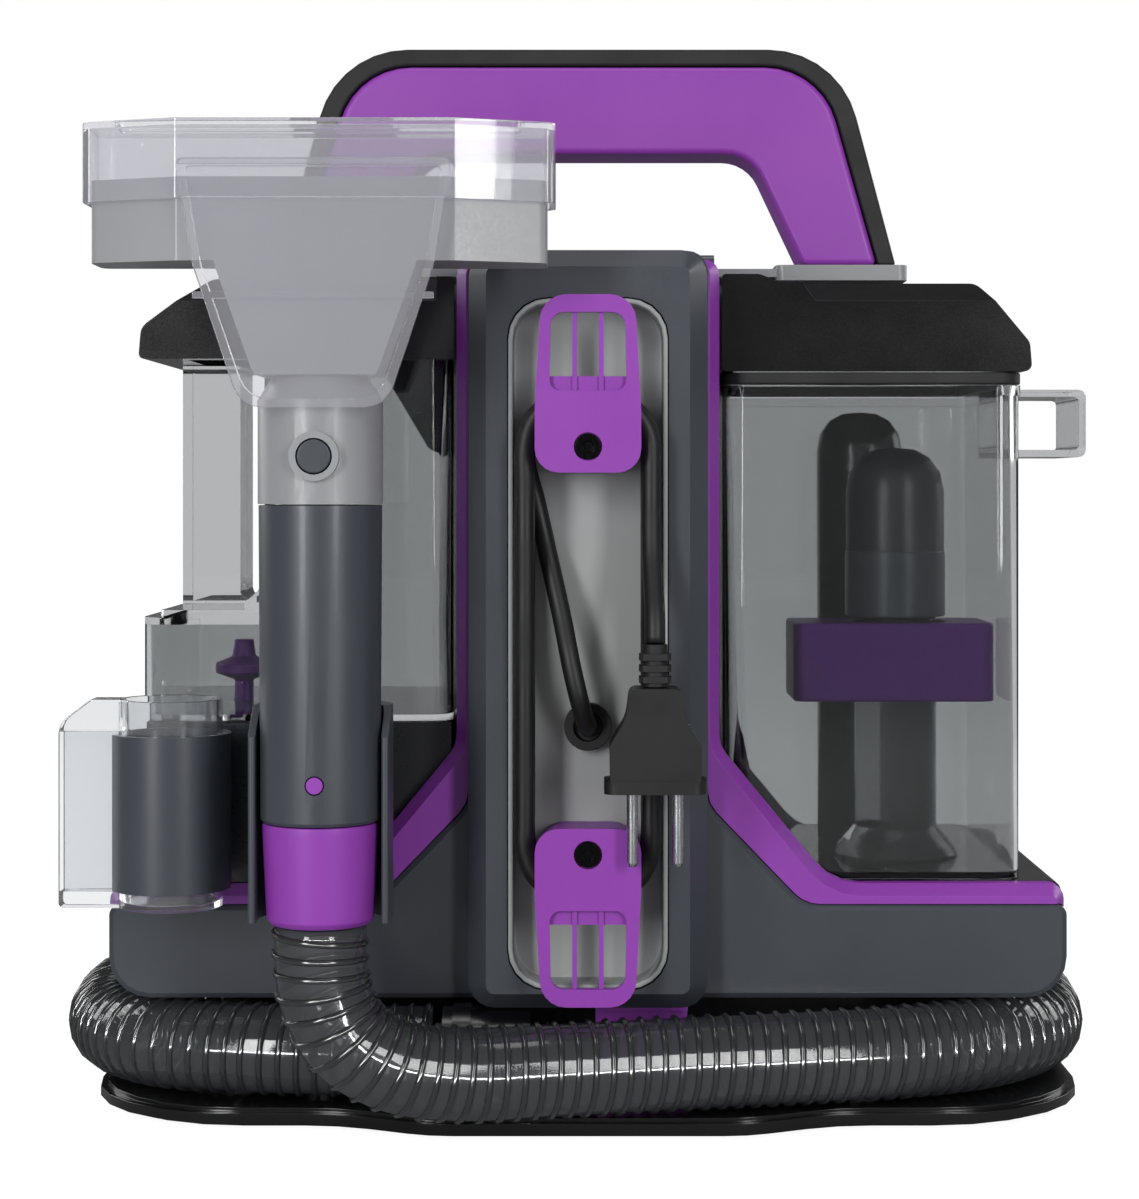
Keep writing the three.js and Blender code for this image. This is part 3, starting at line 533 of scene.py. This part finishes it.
# The height of the hose's centre line where it lies on the tray, in millimetres.
LOW = 27.6
HOSE_R = 18.3 * MM
STEPS_A_TURN = 18
HOSE_ROUTE = [
    (-60, -97, LOW), (-90, -97, LOW), (-130, -93, LOW), (-168, -80, LOW), (-190, -52, LOW),
    (-197.5, -15, LOW), (-196, 22, LOW), (-182, 58, LOW), (-152, 82, LOW), (-110, 91, LOW),
    (-50, 92, LOW), (50, 92, LOW), (110, 91, LOW), (148, 82, LOW), (174, 58, LOW),
    (186, 22, LOW), (187, -18, LOW), (180, -52, LOW), (158, -80, LOW), (124, -98, LOW),
    (80, -110, LOW), (30, -121, LOW), (-15, -132, LOW), (-48, -140, LOW + 0.5),
    (-72, -146, 33), (-89, -149, 44), (-96.5, -150, 60), (-98, -150, 74), (-98, -150, 85),
]


class CLEANER_OT_hose(bpy.types.Operator):
    """The ribbed suction hose, wound once round the plinth and up into the wand."""

    bl_idname = "cleaner.hose"
    bl_label = "Suction hose"

    def execute(self, context):
        sizes = context.scene.cleaner_sizes
        rib, pitch = sizes.rib_radius, sizes.rib_pitch
        wall = HOSE_R - rib
        points, length = catmull([at(*p) for p in HOSE_ROUTE], 3 * MM)
        hose = swept("ribbed_hose", points, wall, "hose", 12)
        line, _ = catmull([at(*p) for p in HOSE_ROUTE], pitch / STEPS_A_TURN)
        wound = []
        # The side is carried along the line without twisting, so the helix keeps its pitch.
        side = Vector((0, 1, 0))
        for i, (point, onward) in enumerate(zip(line, line[1:])):
            along = (onward - point).normalized()
            side = (side - along * side.dot(along)).normalized()
            up = side.cross(along).normalized()
            angle = 2 * pi * i / STEPS_A_TURN
            wound.append(point + wall * (side * cos(angle) + up * sin(angle)))
        helix = swept("hose_helix", wound, rib, "helix", 1)
        for piece in (hose, helix):
            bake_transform(piece)
            bpy.data.collections["hose_pieces"].objects.link(piece)
        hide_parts("suction_hose")
        return {"FINISHED"}


CORD_R = 3.85 * MM


def cord_route():
    """Out of the gland, a little over two turns round the posts, and down to the plug."""
    half_x, low, high, corner = 24.0, 90.0, 280.0, 20.0
    back_y, front_y = -99.6, -119.3
    lead = [(0, -98.4, 153), (0, -103, 153.2), (-1.2, -109, 156.5), (-3.2, -113.5, 164),
            (-6, -114, 176), (-10, -110, 196), (-15, -104, 218), (-20, -100, 240)]
    middle_z = (low + high) / 2
    in_x, in_z = half_x - corner, (high - low) / 2 - corner
    quarter = pi * corner / 2
    # Each corner's side, the angle that its bend starts at, and the straight run after it.
    corners = ((-1, 1, pi, 2 * in_x), (1, 1, pi / 2, 2 * in_z),
               (1, -1, 0.0, 2 * in_x), (-1, -1, -pi / 2, 2 * in_z))
    turn = sum(quarter + run for *_, run in corners)

    def ring(distance):
        """The point that far round the winding, from the top of its left side, clockwise."""
        left = distance % turn
        for side_x, side_z, start, run in corners:
            if left < quarter + run:
                break
            left -= quarter + run
        angle = start - min(left, quarter) / corner
        past = max(left - quarter, 0.0)
        x = side_x * in_x + corner * cos(angle) + past * sin(angle)
        z = middle_z + side_z * in_z + corner * sin(angle) - past * cos(angle)
        return x, z

    # Two turns, over the upper post once more and 28 mm down the right side.
    total = 2 * turn + quarter + 2 * in_x + quarter + 28
    count = 90
    wound = [(-half_x, back_y, high - corner - 3)]
    for i in range(1, count + 1):
        distance = total * i / count
        x, z = ring(distance)
        wound.append((x, back_y + (front_y - back_y) * min(distance / (total - 30), 1), z))
    tail = [(24.1, -121.5, 220), (24.6, -127, 208), (25, -132.5, 197), (25, -134.5, 187.3)]
    return lead + wound + tail


class CLEANER_OT_cord(bpy.types.Operator):
    """The mains cord wound on its hooks, with its plug."""

    bl_idname = "cleaner.cord"
    bl_label = "Mains cord and plug"

    def execute(self, context):
        points, length = catmull([at(*p) for p in cord_route()], 2.5 * MM)
        cord = swept("mains_cord", points, CORD_R, "cord")
        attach(cord, "root")
        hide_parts("cord_lead", "cord_winding", "cord_tail")
        relief = skin("plug_strain_relief", "rubber", 0.8)
        plug = skin("plug_body", "cord", 2.0, 4)
        pins = [skin(f"plug_pin_{side}", "metal", 0.3) for side in ("left", "right")]
        skin("cord_gland", "rubber", 1.5)
        return {"FINISHED"}


def build_all(table):
    """Makes a skin for each node; the table gives each finish its nodes and edge widths."""
    for material, nodes in table.items():
        for node, edge in nodes.items():
            skin(node, material, edge)


class CLEANER_OT_body(bpy.types.Operator):
    """Tray, plinth, casings, trim, cord panel and its hooks."""

    bl_idname = "cleaner.body"
    bl_label = "Body"

    def execute(self, context):
        build_all(
            {
                "black": {"base_tray": 1.5, "plinth": 2, "hose_port": 1, "centre_frame": 1.5,
                          "exhaust_grille": 0.8},
                "charcoal": {"pump_pedestal": 2},
                "purple": {"hose_saddle": 1, "front_trim": 1, "rear_trim": 1,
                           "hook_post_upper": 1, "cord_hook_upper": 0.9, "cord_hook_lower": 0.9},
                "slate": {"front_shell": 1.6, "rear_shell": 1.6, "top_cap": 1.2,
                          "power_button": 1.2, "wand_cradle": 1, "tool_clip": 0.8},
                "panel": {"cord_panel": 1.2},
                "screw": {"hook_screw_upper": 0.5, "hook_screw_lower": 0.5},
                "rubber": {f"foot_{end}_{side}": 0.8
                           for end in ("front", "rear") for side in ("left", "right")},
            }
        )
        return {"FINISHED"}


class CLEANER_OT_handle(bpy.types.Operator):
    """The carrying handle, its grip and the bridge that it stands on."""

    bl_idname = "cleaner.handle"
    bl_label = "Carrying handle"

    def execute(self, context):
        build_all({"purple": {"carry_handle": 4}, "rubber": {"handle_grip": 2},
                   "nozzle": {"handle_bridge": 1.2}})
        return {"FINISHED"}


# Inside the float's bore, whose radius is 21 mm, so that the float passes it as it rises.
BAND_R = 20.7 * MM


class CLEANER_OT_tanks(bpy.types.Operator):
    """Both water tanks and what is in them."""

    bl_idname = "cleaner.tanks"
    bl_label = "Tanks"

    def execute(self, context):
        build_all(
            {
                "smoked": {"dirty_tank": 1.2, "clean_tank": 1.2},
                "column": {"float_column": 1},
                "black": {"dirty_tank_lid": 3, "clean_tank_lid": 3, "filler_funnel": 1.5,
                          "suction_duct": 1},
                "rubber": {"tank_gasket": 1},
                "slate": {"duct_sleeve": 1},
                "float": {"float": 1.5, "tank_valve": 0.8},
            }
        )
        shape = bmesh.new()
        bmesh.ops.create_cone(
            shape, cap_ends=True, segments=64, radius1=BAND_R, radius2=BAND_R, depth=27 * MM,
            matrix=Matrix.Translation(at(128, -20, 205.6)),
        )
        for face in shape.faces:
            face.smooth = len(face.verts) == 4
        mesh = bpy.data.meshes.new("sleeve_band")
        shape.to_mesh(mesh)
        shape.free()
        band = linked("sleeve_band", mesh, "band")
        rounded_edges(band, 0.6 * MM)
        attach(band, "dirty_tank")
        return {"FINISHED"}


class CLEANER_OT_wand(bpy.types.Operator):
    """The wand, its trigger, the nozzle head and the small hand tool."""

    bl_idname = "cleaner.wand"
    bl_label = "Wand, nozzle and hand tool"

    def execute(self, context):
        build_all(
            {
                "slate": {"wand_tube": 0.8, "nozzle_button": 0.8},
                "purple": {"wand_collar": 0.8, "wand_button": 0.6, "wand_trigger": 1.2},
                "nozzle": {"nozzle_body": 1.6},
                "frosted": {"nozzle_cover": 1},
                "crystal": {"hand_tool": 1},
            }
        )
        return {"FINISHED"}


class CLEANER_OT_works(bpy.types.Operator):
    """Motor, fan and pump, inside the casings."""

    bl_idname = "cleaner.works"
    bl_label = "Works"

    def execute(self, context):
        for node in ("suction_motor", "fan_impeller", "water_pump"):
            dress(node, "metal")
        return {"FINISHED"}


STEPS = (
    CLEANER_OT_stage,
    CLEANER_OT_hose,
    CLEANER_OT_cord,
    CLEANER_OT_body,
    CLEANER_OT_handle,
    CLEANER_OT_tanks,
    CLEANER_OT_wand,
    CLEANER_OT_works,
)


class CLEANER_PT_panel(bpy.types.Panel):
    """Lists the steps, the colours and the sizes."""

    bl_idname = "CLEANER_PT_panel"
    bl_label = "Carpet cleaner"
    bl_space_type = "VIEW_3D"
    bl_region_type = "UI"
    bl_category = "Cleaner"

    def draw(self, context):
        for step in STEPS:
            self.layout.operator(step.bl_idname)
        for group in (context.scene.cleaner_colours, context.scene.cleaner_sizes):
            for name in group.__annotations__:
                self.layout.prop(group, name)


CLASSES = (CleanerColours, CleanerSizes, *STEPS, CLEANER_PT_panel)


def register():
    """Adds the classes and the two groups of properties."""
    for cls in CLASSES:
        bpy.utils.register_class(cls)
    bpy.types.Scene.cleaner_colours = PointerProperty(type=CleanerColours)
    bpy.types.Scene.cleaner_sizes = PointerProperty(type=CleanerSizes)


def unregister():
    """Takes them away again."""
    del bpy.types.Scene.cleaner_sizes
    del bpy.types.Scene.cleaner_colours
    for cls in reversed(CLASSES):
        bpy.utils.unregister_class(cls)


def main():
    """Builds every piece in order."""
    register()
    for step in STEPS:
        group, name = step.bl_idname.split(".")
        getattr(getattr(bpy.ops, group), name)()


if __name__ == "__main__":
    main()
